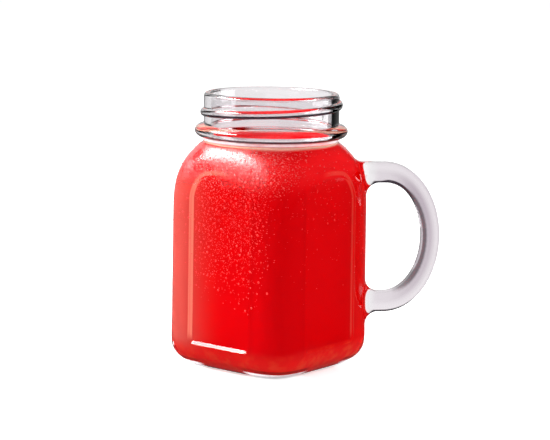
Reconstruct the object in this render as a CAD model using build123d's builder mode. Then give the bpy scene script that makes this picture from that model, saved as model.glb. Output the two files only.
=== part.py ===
"""A handled jar mug of pressed glass with a screw neck, filled to the foot of its neck with a cold drink.

The jar's axis is Z and it stands on the plane z = 0, with the origin on the axis. In plan the body is a
rounded square whose corners lie on X and Y, and the handle grows from the corner on +X. Sizes are in mm.
"""

from build123d import *
from math import atan2, cos, degrees, log2, pi, radians, sin, tan
import os

os.makedirs("parts", exist_ok=True)

# Body: a rounded square in plan, a little narrower at the top than at the base
BODY_HEIGHT = 112.2  # up to where the shoulder has run in under the neck
HALF_SIDE = 38.6  # from the axis to the middle of a side, at the base
CORNER_OUT = 9.7  # how much further from the axis a corner is than the middle of a side
DRAFT_DEG = 0.4
HEEL_HEIGHT = 12.0
HEEL_AT_SIDES = 11.0  # how far the rounded heel runs in under the sides
HEEL_AT_CORNERS = 15.0  # and under the corners
CORNER_CURVE_HEIGHT = 38.0  # the corners curve in over this much of the body's top
SIDE_CURVE_HEIGHT = 20.2  # and the middles of the sides over this much
CORNER_CURVE_POWER = 3.35
SIDE_CURVE_POWER = 3.9
SHOULDER_TUCK = 2.2  # how far inside the neck's face the shoulder ends

# Glass thickness
WALL = 3.4
FLOOR = 6.5
INNER_HEEL_HEIGHT = 9.0

# Arched recess on each side
PANEL_MARGIN = 19.6  # from the recess's side edge to where the body's sides would meet
PANEL_ABOVE_HEEL = 0.6
PANEL_BELOW_TOP = 16.3
PANEL_RISE = 3.4  # how much the arch's crown stands above its springing
PANEL_CORNER_RADIUS = 10.0
PANEL_FOOT_RADIUS = 1.0
PANEL_DEPTH = 1.0
PANEL_BEVEL = 1.5  # width of the sloping border
PANELS = 4
FIRST_PANEL_DEG = 45.0
CUTTER_DEPTHS = 2.0  # how far the cutter stands out, in depths of the recess

# Neck
NECK_HEIGHT = 22.3  # from the body's top to the rim
NECK_RADIUS = 33.1
NECK_ROOT = 8.2  # how deep the neck's plug starts inside the body
RIM_OUTER_ROUND = 1.8
RIM_INNER_ROUND = 1.0
BEAD_RISE = 3.75  # from the body's top to the middle of the bead
BEAD_REACH = 4.3
BEAD_HALF_HEIGHT = 3.2

# Screw thread: one ridge that winds once round the neck
THREAD_REACH = 1.7
THREAD_HALF_HEIGHT = 2.0
THREAD_PITCH = 8.4
THREAD_BELOW_RIM = 5.3  # from the rim down to the middle of the ridge's high end
THREAD_TURNS = 0.95
THREAD_END_ROUND = 0.7  # end rounding, as a share of the ridge's reach
THREAD_START_DEG = 25.0  # azimuth of the low end; it rises anticlockwise

# Handle: a half ellipse with two short bars that run into the corner of the body
HANDLE_FOOT = 25.6  # underside of the lower bar
HANDLE_BELOW_TOP = 11.8  # from the body's top to the upper side of the upper bar
HANDLE_BAR_LENGTH = 8.7  # from the corner to where the half ellipse starts
HANDLE_OUT = 27.5  # how far the half ellipse stands out
HANDLE_BAND = 8.9  # glass thickness at the outermost point
HANDLE_BAR = 10.1  # height of the bars
HANDLE_WIDTH = 11.0
HANDLE_ROUND = 3.4
HANDLE_ROOT = 6.5  # fillet where the bars meet the body
HANDLE_SINK = 0.75  # how deep the bars go into the wall, as a share of its thickness
BAR_ENDS = 2  # ends of the bars on each face, which stay sharp inside the wall

# Drink
FILL_BELOW_TOP = 1.2  # from the body's top down to the drink's surface

# How finely the body's sections are spaced
HEEL_STEPS = 6
STRAIGHT_STEPS = 6
SHOULDER_STEPS = 12
SECTION_POINTS = 48

RIM_Z = BODY_HEIGHT + NECK_HEIGHT
CORNER_CURVE_Z = BODY_HEIGHT - CORNER_CURVE_HEIGHT
SIDE_CURVE_Z = BODY_HEIGHT - SIDE_CURVE_HEIGHT


def plan_size(height):
    """Reach of a side's middle and of a corner from the axis, at a height above the heel."""
    side = HALF_SIDE - height * tan(radians(DRAFT_DEG))
    corner = side + CORNER_OUT
    end = NECK_RADIUS - SHOULDER_TUCK
    side_part = max(0.0, (height - SIDE_CURVE_Z) / SIDE_CURVE_HEIGHT)
    corner_part = max(0.0, (height - CORNER_CURVE_Z) / CORNER_CURVE_HEIGHT)
    side -= (side - end) * side_part**SIDE_CURVE_POWER
    corner -= (corner - end) * corner_part**CORNER_CURVE_POWER
    return side, corner


def plan_outline(side, corner):
    """Points of a smooth four-cornered outline that passes through the two reaches."""
    power = 1 / (0.5 - log2(corner / side))
    points = []
    for step in range(SECTION_POINTS):
        angle = 2 * pi * step / SECTION_POINTS
        spread = abs(cos(angle - pi / 4)) ** power + abs(sin(angle - pi / 4)) ** power
        reach = side * spread ** (-1 / power)
        points.append((reach * cos(angle), reach * sin(angle)))
    return points


def body_blank(inset, base, heel_height):
    """The body as a solid, inset inside the outer face, standing on the height base."""
    sections = []
    for step in range(HEEL_STEPS):
        angle = radians(90 * step / HEEL_STEPS)
        height = base + heel_height * (1 - cos(angle))
        side, corner = plan_size(height)
        tuck = (1 - sin(angle)) * heel_height / HEEL_HEIGHT
        sections.append((height, side - HEEL_AT_SIDES * tuck, corner - HEEL_AT_CORNERS * tuck))
    straight = base + heel_height
    for step in range(STRAIGHT_STEPS):
        height = straight + (CORNER_CURVE_Z - straight) * step / STRAIGHT_STEPS
        sections.append((height, *plan_size(height)))
    for step in range(SHOULDER_STEPS + 1):
        height = CORNER_CURVE_Z + CORNER_CURVE_HEIGHT * step / SHOULDER_STEPS
        sections.append((height, *plan_size(height)))
    with BuildPart() as blank:
        for height, side, corner in sections:
            with BuildSketch(Plane.XY.offset(height)):
                with BuildLine():
                    Spline(*plan_outline(side - inset, corner - inset), periodic=True)
                make_face()
        loft()
    return blank.part


def neck_blank():
    """The neck as a solid plug with its rounded rim and its bead, before the bore is cut."""
    with BuildPart() as plug:
        with BuildSketch(Plane.XY.offset(BODY_HEIGHT - NECK_ROOT)):
            Circle(NECK_RADIUS)
        extrude(amount=NECK_ROOT + NECK_HEIGHT)
        fillet(plug.edges().group_by(Axis.Z)[-1], RIM_OUTER_ROUND)
        with BuildSketch(Plane.XZ):
            with Locations((NECK_RADIUS, BODY_HEIGHT + BEAD_RISE)):
                Ellipse(BEAD_REACH, BEAD_HALF_HEIGHT)
        revolve(axis=Axis.Z)
    return plug.part


def screw_thread():
    """One ridge wound round the neck, with rounded ends."""
    with BuildPart() as ridge:
        with BuildLine() as path:
            Helix(THREAD_PITCH, THREAD_PITCH * THREAD_TURNS, NECK_RADIUS)
        with BuildSketch(Plane(path.line @ 0, x_dir=(1, 0, 0), z_dir=path.line % 0)):
            Ellipse(THREAD_REACH, THREAD_HALF_HEIGHT)
        sweep(path=path.line, is_frenet=True)
        fillet(ridge.faces().filter_by(GeomType.PLANE).edges(), THREAD_END_ROUND * THREAD_REACH)
    return ridge.part


def panel_cutter():
    """The recess of the side towards -Y: an arched pocket whose border slopes outwards."""
    draft = radians(DRAFT_DEG)
    pocket_floor = Plane(
        origin=(0, PANEL_DEPTH - HALF_SIDE, 0),
        x_dir=(1, 0, 0),
        z_dir=(0, -cos(draft), sin(draft)),
    )
    half = HALF_SIDE - PANEL_MARGIN - PANEL_BEVEL
    foot = HEEL_HEIGHT + PANEL_ABOVE_HEEL + PANEL_BEVEL
    crown = BODY_HEIGHT - PANEL_BELOW_TOP - PANEL_BEVEL
    spring = crown - PANEL_RISE
    with BuildPart() as cutter:
        with BuildSketch(pocket_floor) as pocket:
            with BuildLine():
                Polyline((-half, spring), (-half, foot), (half, foot), (half, spring))
                ThreePointArc((half, spring), (0, crown), (-half, spring))
            make_face()
            fillet(pocket.vertices().sort_by(Axis.Y)[:2], PANEL_FOOT_RADIUS)
            fillet(pocket.vertices().sort_by(Axis.Y)[-2:], PANEL_CORNER_RADIUS)
        extrude(amount=CUTTER_DEPTHS * PANEL_DEPTH, taper=-degrees(atan2(PANEL_BEVEL, PANEL_DEPTH)))
    return cutter.part


def handle_blank():
    """The handle with its long edges rounded, its bars running on into the body's corner."""
    top = BODY_HEIGHT - HANDLE_BELOW_TOP
    middle = (top + HANDLE_FOOT) / 2
    rise = (top - HANDLE_FOOT) / 2
    bend_x = HALF_SIDE + CORNER_OUT + HANDLE_BAR_LENGTH
    root_x = plan_size(top)[1] - HANDLE_SINK * WALL
    with BuildPart() as loop:
        with BuildSketch(Plane.XZ):
            with Locations((bend_x, middle)):
                Ellipse(HANDLE_OUT, rise)
                Ellipse(HANDLE_OUT - HANDLE_BAND, rise - HANDLE_BAR, mode=Mode.SUBTRACT)
            split(bisect_by=Plane.YZ.offset(bend_x))
            with Locations((bend_x, top), (bend_x, HANDLE_FOOT + HANDLE_BAR)):
                Rectangle(bend_x - root_x, HANDLE_BAR, align=Align.MAX)
        extrude(amount=HANDLE_WIDTH / 2, both=True)
        near = loop.edges().group_by(Axis.Y)[0].sort_by(Axis.X)
        far = loop.edges().group_by(Axis.Y)[-1].sort_by(Axis.X)
        fillet(near[BAR_ENDS:] + far[BAR_ENDS:], HANDLE_ROUND)
    return loop.part


def inside_of_glass():
    """The space inside the jar, from its floor through the bore and out past the rim."""
    lining = body_blank(WALL, FLOOR, INNER_HEEL_HEIGHT)
    with BuildPart() as space:
        add(lining)
        with BuildSketch(Plane.XY.offset(BODY_HEIGHT - NECK_ROOT)):
            Circle(NECK_RADIUS - WALL)
        extrude(amount=NECK_ROOT + NECK_HEIGHT + WALL)
    return space.part


body_solid = body_blank(0, 0, HEEL_HEIGHT)
handle_solid = handle_blank()
neck_solid = neck_blank()
thread_solid = screw_thread()
recess_solid = panel_cutter()
inside_solid = inside_of_glass()
thread_low_z = RIM_Z - THREAD_BELOW_RIM - THREAD_PITCH * THREAD_TURNS

with BuildPart() as jar:
    body = add(body_solid)
    handle = add(handle_solid)
    fillet(new_edges(body, handle, combined=jar.part), HANDLE_ROOT)
    add(neck_solid)
    with Locations(Location((0, 0, thread_low_z), (0, 0, THREAD_START_DEG))):
        add(thread_solid)
    with PolarLocations(0, PANELS, start_angle=FIRST_PANEL_DEG):
        add(recess_solid, mode=Mode.SUBTRACT)
    add(inside_solid, mode=Mode.SUBTRACT)
    rim = jar.faces().filter_by(GeomType.PLANE).sort_by(Axis.Z)[-1]
    fillet(rim.inner_wires()[0].edges(), RIM_INNER_ROUND)
jar.part.label = "jar"
export_step(jar.part, "parts/jar.step")

with BuildPart() as drink:
    add(inside_solid)
    split(bisect_by=Plane.XY.offset(BODY_HEIGHT - FILL_BELOW_TOP), keep=Keep.BOTTOM)
drink.part.label = "drink"
export_step(drink.part, "parts/drink.step")
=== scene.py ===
"""A handled jar mug of pressed glass, full of a cold red drink, with fine water drops on the outside.

Metres, +Z up. The jar stands on z = 0 with its axis on Z. Two corners of its square body lie on X and two
on Y: the handle grows from the corner on +X, and the front is the corner on -Y.
"""

import bpy
import bmesh
import random
from itertools import accumulate
from math import atan2, cos, pi, radians, sin, sqrt
from mathutils import Matrix, Vector


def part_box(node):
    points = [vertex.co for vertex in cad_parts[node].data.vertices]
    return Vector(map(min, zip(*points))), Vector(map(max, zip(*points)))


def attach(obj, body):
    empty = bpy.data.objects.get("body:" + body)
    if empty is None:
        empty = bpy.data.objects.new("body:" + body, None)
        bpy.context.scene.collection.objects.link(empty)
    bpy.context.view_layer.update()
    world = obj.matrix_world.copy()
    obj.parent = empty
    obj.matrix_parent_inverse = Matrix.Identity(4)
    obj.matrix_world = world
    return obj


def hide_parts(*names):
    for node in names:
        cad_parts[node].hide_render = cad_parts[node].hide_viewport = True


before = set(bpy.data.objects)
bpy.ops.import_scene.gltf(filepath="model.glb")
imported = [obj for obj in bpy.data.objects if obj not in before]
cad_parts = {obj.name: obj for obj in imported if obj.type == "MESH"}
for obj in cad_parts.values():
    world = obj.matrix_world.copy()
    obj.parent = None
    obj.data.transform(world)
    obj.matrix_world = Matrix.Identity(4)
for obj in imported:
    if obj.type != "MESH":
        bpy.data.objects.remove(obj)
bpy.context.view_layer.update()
MM = 0.001

# ---------------------------------------------------------------- places on the jar
FILL_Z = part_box("drink")[1][2]
HANDLE_OUT = 27.5 * MM  # from the start of its bends to its outer rim
HANDLE_BEND_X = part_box("jar")[1][0] - HANDLE_OUT
HANDLE_RISE = 37.4 * MM  # from its middle up to its outer rim
HANDLE_MIDDLE_Z = 63.0 * MM
HANDLE_START_X = (50 * MM, 54 * MM)
SHOULDER_Z = (88 * MM, 100 * MM)
MIDDLE = (0, 0, 70 * MM)

# ---------------------------------------------------------------- camera
CAMERA_AZIMUTH = -6.06  # degrees, turned from -Y towards -X
CAMERA_DISTANCE = 0.969  # from the jar's axis, level
CAMERA_HEIGHT = 0.2248
AIM_HEIGHT = 0.066
CAMERA_LENS = 130.2
CAMERA_SENSOR = 36
CAMERA_ROLL = 0.84  # degrees
CAMERA_SHIFT = (0.0094, 0.0196)


def set_camera():
    """The camera that looks at the jar's front corner from a little above."""
    turn = radians(CAMERA_AZIMUTH)
    place = Vector((sin(turn), -cos(turn), 0)) * CAMERA_DISTANCE
    place.z = CAMERA_HEIGHT
    look = Vector((0, 0, AIM_HEIGHT)) - place
    data = bpy.data.cameras.new("camera")
    data.lens = CAMERA_LENS
    data.sensor_width = CAMERA_SENSOR
    data.shift_x, data.shift_y = CAMERA_SHIFT
    camera = bpy.data.objects.new("camera", data)
    bpy.context.scene.collection.objects.link(camera)
    aimed = look.to_track_quat("-Z", "Y").to_matrix().to_4x4()
    roll = Matrix.Rotation(radians(CAMERA_ROLL), 4, "Z")
    camera.matrix_world = Matrix.Translation(place) @ aimed @ roll
    bpy.context.scene.camera = camera


# ---------------------------------------------------------------- shader maths
class Value:
    """A shader socket that can be used in sums."""

    def __init__(self, finish, socket):
        self.finish, self.socket = finish, socket

    def _maths(self, operation, *terms):
        return self.finish.node("ShaderNodeMath", {"operation": operation}, dict(enumerate(terms)))

    def __add__(self, other):
        return self._maths("ADD", self, other)

    def __radd__(self, other):
        return self._maths("ADD", other, self)

    def __sub__(self, other):
        return self._maths("SUBTRACT", self, other)

    def __rsub__(self, other):
        return self._maths("SUBTRACT", other, self)

    def __mul__(self, other):
        return self._maths("MULTIPLY", self, other)

    def __rmul__(self, other):
        return self._maths("MULTIPLY", other, self)

    def __truediv__(self, other):
        return self._maths("DIVIDE", self, other)

    def __pow__(self, other):
        return self._maths("POWER", self, other)

    def out(self, name):
        """Another output of the same node."""
        return Value(self.finish, self.socket.node.outputs[name])

    def size(self):
        """The value without its sign."""
        return self._maths("ABSOLUTE", self)

    def at_least(self, low):
        """The value, or low where that is more."""
        return self._maths("MAXIMUM", self, low)

    def limited(self):
        """The value kept from 0 to 1."""
        return self.finish.node("ShaderNodeClamp", None, {"Value": self})

    def between(self, low, high, start=0.0, end=1.0):
        """Goes smoothly from start to end while the value goes from low to high."""
        return self.finish.node("ShaderNodeMapRange", {"interpolation_type": "SMOOTHSTEP"}, {
            "Value": self, "From Min": low, "From Max": high, "To Min": start, "To Max": end})

    def under(self, low, high):
        """One while the value is under low, and nothing once it is over high."""
        return self.between(low, high, 1.0, 0.0)

    def band(self, low, high, soft):
        """One from low to high, with soft sides, and nothing elsewhere."""
        return self.between(low - soft, low) * self.under(high, high + soft)


class Finish:
    """A node material, or the world, and the one method that adds nodes to it."""

    def __init__(self, name, tree=None):
        self.material = None
        if tree is None:
            self.material = bpy.data.materials.new(name)
            self.material.use_nodes = True
            tree = self.material.node_tree
        self.tree = tree
        tree.nodes.clear()

    def node(self, kind, settings=None, sockets=None):
        """Adds a node: its settings first, then the values or links of its sockets."""
        made = self.tree.nodes.new(kind)
        for key, setting in (settings or {}).items():
            setattr(made, key, setting)
        for key, value in (sockets or {}).items():
            if isinstance(value, Value):
                self.tree.links.new(value.socket, made.inputs[key])
            else:
                made.inputs[key].default_value = value
        shown = [socket for socket in made.outputs if socket.enabled]
        return Value(self, shown[0]) if shown else None

    def place(self):
        """The piece's own coordinates, together and as three values."""
        coordinates = self.node("ShaderNodeTexCoord").out("Object")
        apart = self.node("ShaderNodeSeparateXYZ", None, {0: coordinates})
        return coordinates, apart.out("X"), apart.out("Y"), apart.out("Z")

    def noise(self, here, scale, detail=2.0):
        """Soft random patches."""
        return self.node("ShaderNodeTexNoise", None, {"Vector": here, "Scale": scale, "Detail": detail})

    def grey(self, level):
        """A grey of this level."""
        return self.node("ShaderNodeCombineColor", None, {0: level, 1: level, 2: level})

    def mixed(self, share, low, high):
        """A colour between two colours."""
        made = self.node("ShaderNodeMix", {"data_type": "RGBA"}, {0: share, 6: low, 7: high})
        return Value(self, made.socket.node.outputs[2])

    def layered(self, colour, *layers):
        """A colour with others laid over it in turn, each by its own share."""
        for share, over in layers:
            colour = self.mixed(share, colour, over)
        return colour

    def surface(self, shader):
        """Sends a shader to the output."""
        self.node("ShaderNodeOutputMaterial" if self.material else "ShaderNodeOutputWorld", None, {
            "Surface": shader})
        return self.material


# ---------------------------------------------------------------- pieces
def finish_piece(piece, material, slot, *nodes):
    """Gives a piece its material and body, and hides the CAD nodes it stands for; the slot is not used."""
    piece.data.materials.clear()
    piece.data.materials.append(material)
    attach(piece, "root")
    if nodes:
        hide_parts(*nodes)


# ---------------------------------------------------------------- glass
CLEAR_BODY = (1, 1, 1, 1)
CLEAR_NECK = (0.885, 0.86, 0.88, 1)
CLEAR_HANDLE = (0.88, 0.83, 0.865, 1)
GRIP_PAINTED_SHADE = (0.55, 0.475, 0.535, 1)
PAINTED_DARK_OUTLINE = (0.1, 0.07, 0.09, 1)
GRIP_BACK_PAINTED_SHADE = (0.01, 0.006, 0.009, 1)
UNDERSIDE_PAINTED_SHADE = (0.002, 0.001, 0.002, 1)
FOOT_LINE_PAINTED_SHADE = (0.06, 0.01, 0.01, 1)
PALE_MIST_AND_REFLECTION = (0.97, 0.9, 0.93, 1)
WAVE_HEIGHT = 0.006  # heights are in millimetres
FOG_HEIGHT = 0.14
FOG_ROUGHNESS = 0.42

BODY_END_Z = (108 * MM, 110 * MM)
BODY_END_X = (46 * MM, 50 * MM)
FOG_START_Z = (78 * MM, 100 * MM)
FOG_END_Z = (109.5 * MM, 110.5 * MM)
FOG_END_X = (-18 * MM, 14 * MM)
VEIL_START_Z = (90 * MM, 100 * MM)
BEAD_REFLECTION_Z = (111.6 * MM, 112.4 * MM)
THREAD_START_Z = (118 * MM, 118.5 * MM)
BAR_START_Z = (60 * MM, 80 * MM)  # the handle's upper bar
GRIP_BACK_Z = (28 * MM, 44 * MM)
FLAT_LINE_END_Z = (1.2 * MM, 2.6 * MM)
CORNER_LINE_Z = (3.8 * MM, 4.9 * MM)
FOOT_REFLECTION_END_Z = (2.7 * MM, 3.4 * MM)


def handle_glass_and_shade(f, x, z):
    """The clear glass of the neck and the handle, with painted shade that makes its grip greyer than its
    outer rim.
    """
    out_x = ((x - HANDLE_BEND_X) / HANDLE_OUT).at_least(0.0)
    out_z = (z - HANDLE_MIDDLE_Z) / HANDLE_RISE
    from_middle = (out_x * out_x + out_z * out_z) ** 0.5
    handle = x.between(*HANDLE_START_X)
    grip = from_middle.under(0.82, 0.95) * out_x.between(0.0, 0.6, 0.35, 1.0) * handle
    return f.layered(f.mixed(handle, CLEAR_NECK, CLEAR_HANDLE), (grip, GRIP_PAINTED_SHADE))


def painted_shade_sides(way, x, z):
    """Painted shade: where the grip's inner side is dark, and where the undersides of bead, thread and
    handle are.
    """
    inward = 0 - way.out("X")
    grip_back_shade = inward.between(0.2, 0.55) * inward.between(0.85, 0.96, 1.0, 0.2)
    grip_back_shade = grip_back_shade * x.between(55 * MM, 60 * MM) * z.between(*GRIP_BACK_Z, 0.55, 0.93)
    downward = 0 - way.out("Z")
    under_bead = downward.between(0.5, 0.68) * downward.between(0.92, 0.98, 1.0, 0.3)
    under_thread = downward.between(0.1, 0.3) * z.between(*THREAD_START_Z)
    under_bar = downward.between(0.35, 0.55) * x.between(54 * MM, 58 * MM) * z.between(*BAR_START_Z)
    return grip_back_shade, (under_bead + under_thread + under_bar).limited()


def glass_finish():
    """Clear pressed glass, a little wavy, fogged with cold on the shoulder, with painted shade along
    outlines, undersides and foot, and painted pale reflections at bead and foot.
    """
    f = Finish("clear_glass")
    here, x, y, z = f.place()
    surface = f.node("ShaderNodeNewGeometry")
    outside = 1 - surface.out("Backfacing")
    patches = f.noise(here, 70.0)
    cells = f.node("ShaderNodeTexVoronoi", None, {"Vector": here, "Scale": 600.0})
    body = z.under(*BODY_END_Z) * x.under(*BODY_END_X)
    fogged = z.between(*FOG_START_Z) * z.under(*FOG_END_Z) * x.between(*FOG_END_X, 1.0, 0.05)
    fog = fogged * patches.between(0.3, 0.6, 0.5, 1.0)
    height = f.noise(here, 60.0, 1.0) * WAVE_HEIGHT + cells * fog * FOG_HEIGHT
    wavy = f.node("ShaderNodeBump", None, {"Strength": 1.0, "Distance": 1 * MM, "Height": height})

    # neck and handle: painted shade, grey along their outlines and dark on some sides
    facing = f.node("ShaderNodeLayerWeight", None, {"Blend": 0.5, "Normal": wavy}).out("Facing")
    way = f.node("ShaderNodeSeparateXYZ", None, {0: surface.out("Normal")})
    grip_back_shade, undersides = painted_shade_sides(way, x, z)
    clear = f.layered(
        handle_glass_and_shade(f, x, z),
        (facing.between(0.78, 0.98), PAINTED_DARK_OUTLINE),
        # painted shade on the grip's inner side
        (grip_back_shade * outside, GRIP_BACK_PAINTED_SHADE),
        # painted shade under the bead, the thread and the handle's upper bar
        (undersides * outside, UNDERSIDE_PAINTED_SHADE))

    # painted shade: the foot has a dark line round it, which climbs at the corners
    corner = (x.size() - y.size()).size().between(16 * MM, 24 * MM)
    line = z.under(*FLAT_LINE_END_Z) * (1 - corner) + z.band(*CORNER_LINE_Z, 0.5 * MM) * corner * 0.7
    line = line * patches.between(0.35, 0.55, 0.4, 1.0) * outside
    filled = f.mixed(line, CLEAR_BODY, FOOT_LINE_PAINTED_SHADE)

    # painted pale reflections under the bead and at the foot's corners, mixed with the real mist of the
    # shoulder's veil
    bead_reflection = z.band(*BEAD_REFLECTION_Z, 0.4 * MM) * patches.between(0.3, 0.6, 0.5, 0.9)
    foot_reflection = z.under(*FOOT_REFLECTION_END_Z) * corner * body
    veil = z.between(*VEIL_START_Z) * fogged * cells.between(0.1, 0.45, 0.1, 0.0)
    mist_and_reflection_share = (bead_reflection + foot_reflection + veil).limited() * outside
    glass = f.node("ShaderNodeBsdfPrincipled", None, {
        "Base Color": f.mixed(body, clear, filled),
        "Roughness": fog * FOG_ROUGHNESS,
        "IOR": 1.5,
        "Transmission Weight": 1.0,
        "Normal": wavy,
    })
    mist_and_reflection = f.node("ShaderNodeBsdfDiffuse", None, {"Color": PALE_MIST_AND_REFLECTION})
    return f.surface(f.node("ShaderNodeMixShader", None, {0: mist_and_reflection_share, 1: glass, 2: mist_and_reflection}))


# ---------------------------------------------------------------- drink
DEEP_RED = (0.925, 0.0, 0.004, 1)
DEEPER_RED = (0.875, 0.0, 0.002, 1)
CORNER_PAINTED_SHADE_RED = (0.815, 0.0, 0.003, 1)
LEFT_CORNER_PAINTED_LIGHT = (0.79, 0.125, 0.10, 1)
SHOULDER_PAINTED_LIGHT_RED = (1.0, 0.01, 0.014, 1)
HANDLE_SIDE_PAINTED_LIGHT_RED = (1.0, 0.008, 0.008, 1)
ARCH_PAINTED_HIGHLIGHT = (1.0, 0.25, 0.17, 1)
FOOT_PAINTED_LIGHT_RED = (1.0, 0.012, 0.01, 1)
FOOT_PAINTED_GLINT_ORANGE = (1.0, 0.05, 0.02, 1)
BRIM_PINK = (1.0, 0.66, 0.48, 1)

DRINK_SINK = 0.3 * MM  # how far the drink reaches into the glass
MERGE_DISTANCE = 0.001 * MM
SMOOTH_ANGLE = radians(40)

# the painted highlight line along each arch lies round a core, which is narrower and lower than the panel
CORE_ASIDE = 1.8 * MM  # from the panel's middle, away from Y
CORE_HALF = 8.2 * MM
CORE_TOP = 87.5 * MM
CORE_FALL = 11.1  # how fast its top falls to the sides: metres for a metre squared
ARCH_LINE = (9.6 * MM, 10.8 * MM)  # its two sides, from the core
ARCH_LINE_SOFT = 0.8 * MM


def arch_highlight(across, x, z):
    """A thin painted highlight line inside each panel's arched edge, on its side towards X, weaker towards
    the handle.
    """
    aside = across - CORE_ASIDE
    over = (aside.size() - CORE_HALF).at_least(0.0)
    above = (z + aside * aside * CORE_FALL - CORE_TOP).at_least(0.0)
    line = ((over * over + above * above) ** 0.5).band(*ARCH_LINE, ARCH_LINE_SOFT)
    line = line * z.between(13 * MM, 18 * MM) * aside.between(-8 * MM, 2 * MM)
    return line * x.between(-20 * MM, 30 * MM, 1.0, 0.2)


def drink_finish():
    """Opaque bright red drink with painted light and shade: paler at the corner on -X, darker at the
    corners between panels, lighter on the shoulder, towards the handle and at the foot, with a painted
    highlight along each arch and painted orange glints in patches at its foot.
    """
    f = Finish("red_drink")
    here, x, y, z = f.place()
    across = (x.size() - y.size()) * sqrt(0.5)  # from a panel's middle, growing towards X
    corner_shade = across.size().between(17 * MM, 18.5 * MM) * z.under(85 * MM, 100 * MM)
    patches = f.noise(here, 170.0, 3.0).between(0.4, 0.7)
    foot_glints = z.under(8 * MM, 14 * MM) * patches * x.between(0.0, 20 * MM, 0.6, 1.0)
    brim = z.between(FILL_Z - 2.6 * MM, FILL_Z - 0.8 * MM) * z.under(FILL_Z - 0.1 * MM, FILL_Z - 0.05 * MM)
    red = f.layered(
        f.mixed(f.noise(here, 25.0), DEEP_RED, DEEPER_RED),
        # painted shade: darker red at the corners between the panels
        (corner_shade, CORNER_PAINTED_SHADE_RED),
        # painted light: paler at the corner on -X
        (x.under(-48 * MM, -20 * MM) ** 2.0, LEFT_CORNER_PAINTED_LIGHT),
        # painted light: brighter red on the shoulder
        (z.between(*SHOULDER_Z), SHOULDER_PAINTED_LIGHT_RED),
        # painted light: brighter red towards the corner on +X
        (x.between(34 * MM, 45 * MM), HANDLE_SIDE_PAINTED_LIGHT_RED),
        # painted highlight along each panel's arch
        (arch_highlight(across, x, z), ARCH_PAINTED_HIGHLIGHT),
        # painted light: full red at the foot, where less light reaches
        (z.under(6 * MM, 15 * MM), FOOT_PAINTED_LIGHT_RED),
        # painted light: orange glints in patches at the foot
        (foot_glints, FOOT_PAINTED_GLINT_ORANGE),
        (brim, BRIM_PINK))
    return f.surface(f.node("ShaderNodeBsdfPrincipled", None, {
        "Base Color": red,
        "Roughness": 0.4,
        "Specular IOR Level": 0.0,
    }))


def make_drink():
    """The drink, grown until it reaches just into the wall, its surface left at its level."""
    piece = bpy.data.objects.new("drink_fill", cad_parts["drink"].data.copy())
    bpy.context.scene.collection.objects.link(piece)
    bpy.ops.object.select_all(action="DESELECT")
    piece.select_set(True)
    bpy.context.view_layer.objects.active = piece
    if piece.data.has_custom_normals:
        bpy.ops.mesh.customdata_custom_splitnormals_clear()
    bpy.ops.object.mode_set(mode="EDIT")
    bpy.ops.mesh.select_all(action="SELECT")
    bpy.ops.mesh.remove_doubles(threshold=MERGE_DISTANCE)
    bpy.ops.transform.shrink_fatten(value=DRINK_SINK)
    bpy.ops.object.mode_set(mode="OBJECT")
    for vertex in piece.data.vertices:
        vertex.co.z = min(vertex.co.z, FILL_Z)
    bpy.ops.object.shade_smooth_by_angle(angle=SMOOTH_ANGLE)
    finish_piece(piece, drink_finish(), "drink", "drink")


# ---------------------------------------------------------------- drops
# how many, least distance apart, middle radius, spread of the radius
BIG_DROPS = (1050, 1.8 * MM, 0.37 * MM, 0.35)
FINE_DROPS = (6200, 0.65 * MM, 0.19 * MM, 0.35)
LARGEST_DROP = 1.6  # in middle radii
DROP_SIDES = 6
DROP_RINGS = ((1.0, -0.05), (0.6, 0.5))  # radius and height, in drop radii
DROP_SEED = 7
DROP_RED = (0.95, 0.005, 0.008, 1)
DROP_LIGHT_RED = (1.0, 0.04, 0.035, 1)
DROP_HIGHLIGHT_PINK = (1.0, 0.26, 0.24, 1)

DROPS_LOW_Z, DROPS_HIGH_Z = 12 * MM, 109.5 * MM
DROPS_END_X = 47 * MM
RISE_Z = (30 * MM, 85 * MM)  # no drops below, all above
UPPER_Z = (85 * MM, 100 * MM)
# turns are in radians from the front, towards +X
BACK_TURN, SIDE_TURN, FRONT_TURN = 2.2, -1.2, -0.07
UPPER_TURN = 0.45  # how much further round the drops go on the shoulder
TURN_FADE = 0.35
BACK_SHARE, SIDE_SHARE, LEAST_SHARE = 0.6, 0.03, 0.03


def drop_finish():
    """Clouded water, in the red of the drink behind it low down, and paler on the shoulder with painted
    highlight.
    """
    f = Finish("water_drops")
    here, x, _, z = f.place()
    low = f.mixed(f.noise(here, 90.0), DROP_RED, DROP_LIGHT_RED)
    # painted highlight: paler drops on the shoulder
    pale = z.between(*SHOULDER_Z) * x.between(-24 * MM, 6 * MM, 1.0, 0.2)
    return f.surface(f.node("ShaderNodeBsdfPrincipled", None, {
        "Base Color": f.mixed(pale, low, DROP_HIGHLIGHT_PINK),
        "Roughness": 0.28,
        "IOR": 1.33,
        "Specular IOR Level": 0.85,
    }))


def outer_triangles():
    """Triangles of the body's outer face, from above its foot to under its bead, with their areas."""
    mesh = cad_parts["jar"].data
    mesh.calc_loop_triangles()
    chosen = []
    for triangle in mesh.loop_triangles:
        middle = triangle.center
        outward = triangle.normal.dot(Vector((middle.x, middle.y, 0))) > 0
        if outward and DROPS_LOW_Z < middle.z < DROPS_HIGH_Z and middle.x <= DROPS_END_X:
            chosen.append(([mesh.vertices[i].co.copy() for i in triangle.vertices], triangle.area))
    return chosen


def ramp(value, low, high):
    """Nothing up to low, one from high on."""
    return min(1.0, max(0.0, (value - low) / (high - low)))


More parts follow.
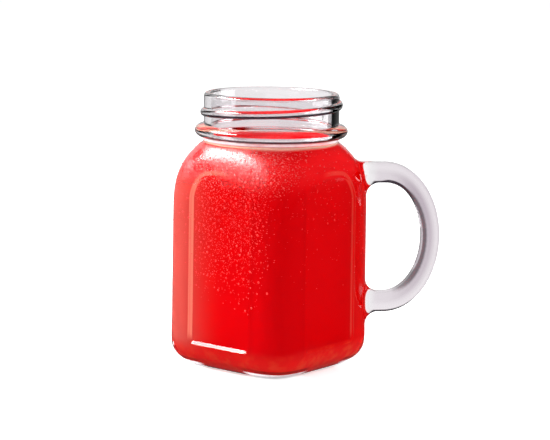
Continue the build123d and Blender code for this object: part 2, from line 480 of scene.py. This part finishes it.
def drop_chance(place):
    """How thickly the drops lie: most from the front towards -X, fewer at the back, and few low down."""
    turned = atan2(place.x, -place.y)
    if abs(turned) > BACK_TURN:
        share = BACK_SHARE
    elif turned < SIDE_TURN:
        share = SIDE_SHARE
    else:
        share = ramp(UPPER_TURN * ramp(place.z, *UPPER_Z) + FRONT_TURN - turned, 0, TURN_FADE)
    return ramp(place.z, *RISE_Z) ** 1.5 * (LEAST_SHARE + (1 - LEAST_SHARE) * share)


def has_room(place, gap, taken):
    """Whether no drop of this size is too near; if so the place is noted."""
    cell = tuple(int(part // gap) for part in place)
    for step in range(27):
        beside = (cell[0] + step % 3 - 1, cell[1] + step // 3 % 3 - 1, cell[2] + step // 9 - 1)
        if any((place - other).length < gap for other in taken.get(beside, ())):
            return False
    taken.setdefault(cell, []).append(place)
    return True


def add_drop(made, place, outward, across, radius, turn):
    """One dome: rings of corners from just inside the glass up to a flat top."""
    along = outward.cross(across)
    rings = []
    for reach, rise in DROP_RINGS:
        ring = []
        for k in range(DROP_SIDES):
            angle = turn + 2 * pi * k / DROP_SIDES
            sideways = across * cos(angle) + along * sin(angle)
            ring.append(made.verts.new(place + radius * (reach * sideways + rise * outward)))
        rings.append(ring)
    for low, high in zip(rings, rings[1:]):
        for k in range(DROP_SIDES):
            following = (k + 1) % DROP_SIDES
            made.faces.new((low[k], low[following], high[following], high[k]))
    made.faces.new(rings[-1])
    made.faces.new(list(reversed(rings[0])))


def make_drops():
    """Small domes of water scattered over the body, in one mesh."""
    chance = random.Random(DROP_SEED)
    triangles = outer_triangles()
    areas = list(accumulate(area for _, area in triangles))
    made = bmesh.new()
    for number, gap, middle_radius, spread in (BIG_DROPS, FINE_DROPS):
        taken = {}
        count = 0
        while count < number:
            (a, b, c), _ = chance.choices(triangles, cum_weights=areas)[0]
            u, v = chance.random(), chance.random()
            if u + v > 1:
                u, v = 1 - u, 1 - v
            place = a + (b - a) * u + (c - a) * v
            if chance.random() > drop_chance(place) or not has_room(place, gap, taken):
                continue
            radius = middle_radius * min(LARGEST_DROP, chance.lognormvariate(0, spread))
            outward = (b - a).cross(c - a).normalized()
            add_drop(made, place, outward, outward.orthogonal().normalized(), radius, chance.random() * pi)
            count += 1
    for face in made.faces:
        face.smooth = True
    mesh = bpy.data.meshes.new("drops")
    made.to_mesh(mesh)
    made.free()
    piece = bpy.data.objects.new("drops", mesh)
    bpy.context.scene.collection.objects.link(piece)
    finish_piece(piece, drop_finish(), None)


# ---------------------------------------------------------------- floor, cards, lamps and world
# how pale the floor and the world are to most rays, and to mirrored ones
FLOOR_PLAIN, FLOOR_MIRRORED = 0.9, 0.02
WORLD_PLAIN, WORLD_MIRRORED = 0.5, 0.03
FLOOR_GLOW = 0.56  # its own light where it is seen, which makes it white
FLOOR_DIMMING, WORLD_DIMMING = 1.8, 1.4  # for inner rays, which ray_kinds tells
BLACK = (0.004, 0.004, 0.006, 1)


def ray_kinds(f):
    """What kind of ray has come: seen, mirrored, through or inner.

    Seen rays come straight from the camera or through glass, and mirrored ones off the outside of a piece.
    Through rays have passed glass, and of those the inner ones had been reflected before.
    """
    path = f.node("ShaderNodeLightPath")
    sent_through = path.out("Is Transmission Ray")
    reflected = path.out("Glossy Depth").between(0.2, 0.8) * path.out("Diffuse Depth").under(0.2, 0.8)
    through = sent_through * (1 - reflected * 0.1)
    seen = (path.out("Is Camera Ray") + through).limited()
    mirrored = path.out("Is Glossy Ray") * (1 - sent_through)
    return seen, mirrored, through, reflected * through


def make_floor():
    """A white floor, mirrored as nearly black but for a glow round the jar's foot and behind it."""
    bpy.ops.object.select_all(action="DESELECT")
    bpy.ops.mesh.primitive_plane_add(size=8, location=(0, 0, 0))
    floor = bpy.context.object
    floor.name = "floor"
    f = Finish("white_floor")
    seen, mirrored, through, inner = ray_kinds(f)
    _, x, y, _ = f.place()
    out = (x * x + y * y) ** 0.5
    near = out.between(60 * MM, 110 * MM, 0.08, 0.0)
    behind = (y / out.at_least(10 * MM)).between(0.4, 0.85) * 0.2
    lit = (1 - FLOOR_DIMMING * inner * x.between(0.1, 0.2)).at_least(0.0)
    bare = (FLOOR_PLAIN - (FLOOR_PLAIN - FLOOR_MIRRORED) * mirrored - FLOOR_PLAIN * through) * lit
    glow = (FLOOR_GLOW * seen + (1 - FLOOR_GLOW) * through) * lit + (near + behind) * mirrored
    floor.data.materials.append(f.surface(f.node("ShaderNodeBsdfPrincipled", None, {
        "Base Color": f.grey(bare),
        "Roughness": 0.9,
        "Specular IOR Level": 0.0,
        "Emission Color": f.grey(glow),
        "Emission Strength": 1.0,
    })))


def soft_box(name, place, size, power):
    """A broad soft lamp aimed at the jar's middle, which doesn't show in reflections."""
    data = bpy.data.lights.new(name, "AREA")
    data.shape = "RECTANGLE"
    data.size, data.size_y = size
    data.energy = power
    lamp = bpy.data.objects.new(name, data)
    bpy.context.scene.collection.objects.link(lamp)
    lamp.visible_glossy = False
    lamp.location = place
    lamp.rotation_euler = (Vector(MIDDLE) - Vector(place)).to_track_quat("-Z", "Y").to_euler()


def add_card(name, place, size, aim, material):
    """A card turned towards its aim, which only reflections see."""
    bpy.ops.object.select_all(action="DESELECT")
    bpy.ops.mesh.primitive_plane_add(size=1, location=(0, 0, 0))
    card = bpy.context.object
    card.name = name
    turn = (Vector(aim) - Vector(place)).to_track_quat("Z", "Y").to_matrix().to_4x4()
    card.matrix_world = Matrix.Translation(place) @ turn @ Matrix.Diagonal((*size, 1, 1))
    card.data.materials.append(material)
    card.visible_camera = False
    card.visible_diffuse = False
    card.visible_transmission = False
    card.visible_shadow = False


def black_finish():
    """Matt black."""
    f = Finish("black_card")
    return f.surface(f.node("ShaderNodeBsdfPrincipled", None, {
        "Base Color": BLACK,
        "Roughness": 0.9,
        "Specular IOR Level": 0.0,
    }))


def bright_finish(strength):
    """A white face that fades to its sides and gives no light to rays that have passed glass."""
    f = Finish("bright_card")
    _, x, y, _ = f.place()
    soft = x.size().under(0.34, 0.5) * y.under(0.1, 0.5) * y.between(-0.4, 0.1, 0.15, 1.0)
    outer = f.node("ShaderNodeLightPath").out("Transmission Depth").under(0.2, 0.8)
    return f.surface(f.node("ShaderNodeEmission", None, {
        "Color": f.grey(soft * outer),
        "Strength": strength,
    }))


def set_world():
    """A white room, mirrored as nearly black but for a pale part behind the jar."""
    world = bpy.data.worlds.new("studio")
    bpy.context.scene.world = world
    world.use_nodes = True
    f = Finish("studio", world.node_tree)
    seen, mirrored, _, inner = ray_kinds(f)
    way = f.node("ShaderNodeSeparateXYZ", None, {0: f.node("ShaderNodeTexCoord").out("Generated")})
    behind = way.out("Y").between(0.8, 0.97) * 0.7
    aside = way.out("X").between(0.3, 0.7) * inner
    level = WORLD_PLAIN + (1 - WORLD_PLAIN) * seen - (WORLD_PLAIN - WORLD_MIRRORED) * mirrored
    level = level + behind * mirrored - WORLD_DIMMING * aside
    f.surface(f.node("ShaderNodeBackground", None, {"Color": f.grey(level), "Strength": 1.0}))


# ---------------------------------------------------------------- the scene
set_camera()
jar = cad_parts["jar"]
jar.data.materials.clear()
jar.data.materials.append(glass_finish())
make_drink()
make_drops()
make_floor()
soft_box("left_box", place=(-0.78, 0.12, 0.68), size=(0.64, 0.62), power=19)
soft_box("right_box", place=(1.0, 0.05, 0.3), size=(0.8, 0.8), power=9)
add_card("left_card", (-0.68, 0.11, 0.8), (0.9, 0.84), MIDDLE, bright_finish(58.0))
add_card("ceiling_card", (0, 0, 0.6), (0.9, 0.9), (0, 0, 0), black_finish())
set_world()
bpy.context.scene.view_settings.view_transform = "Standard"
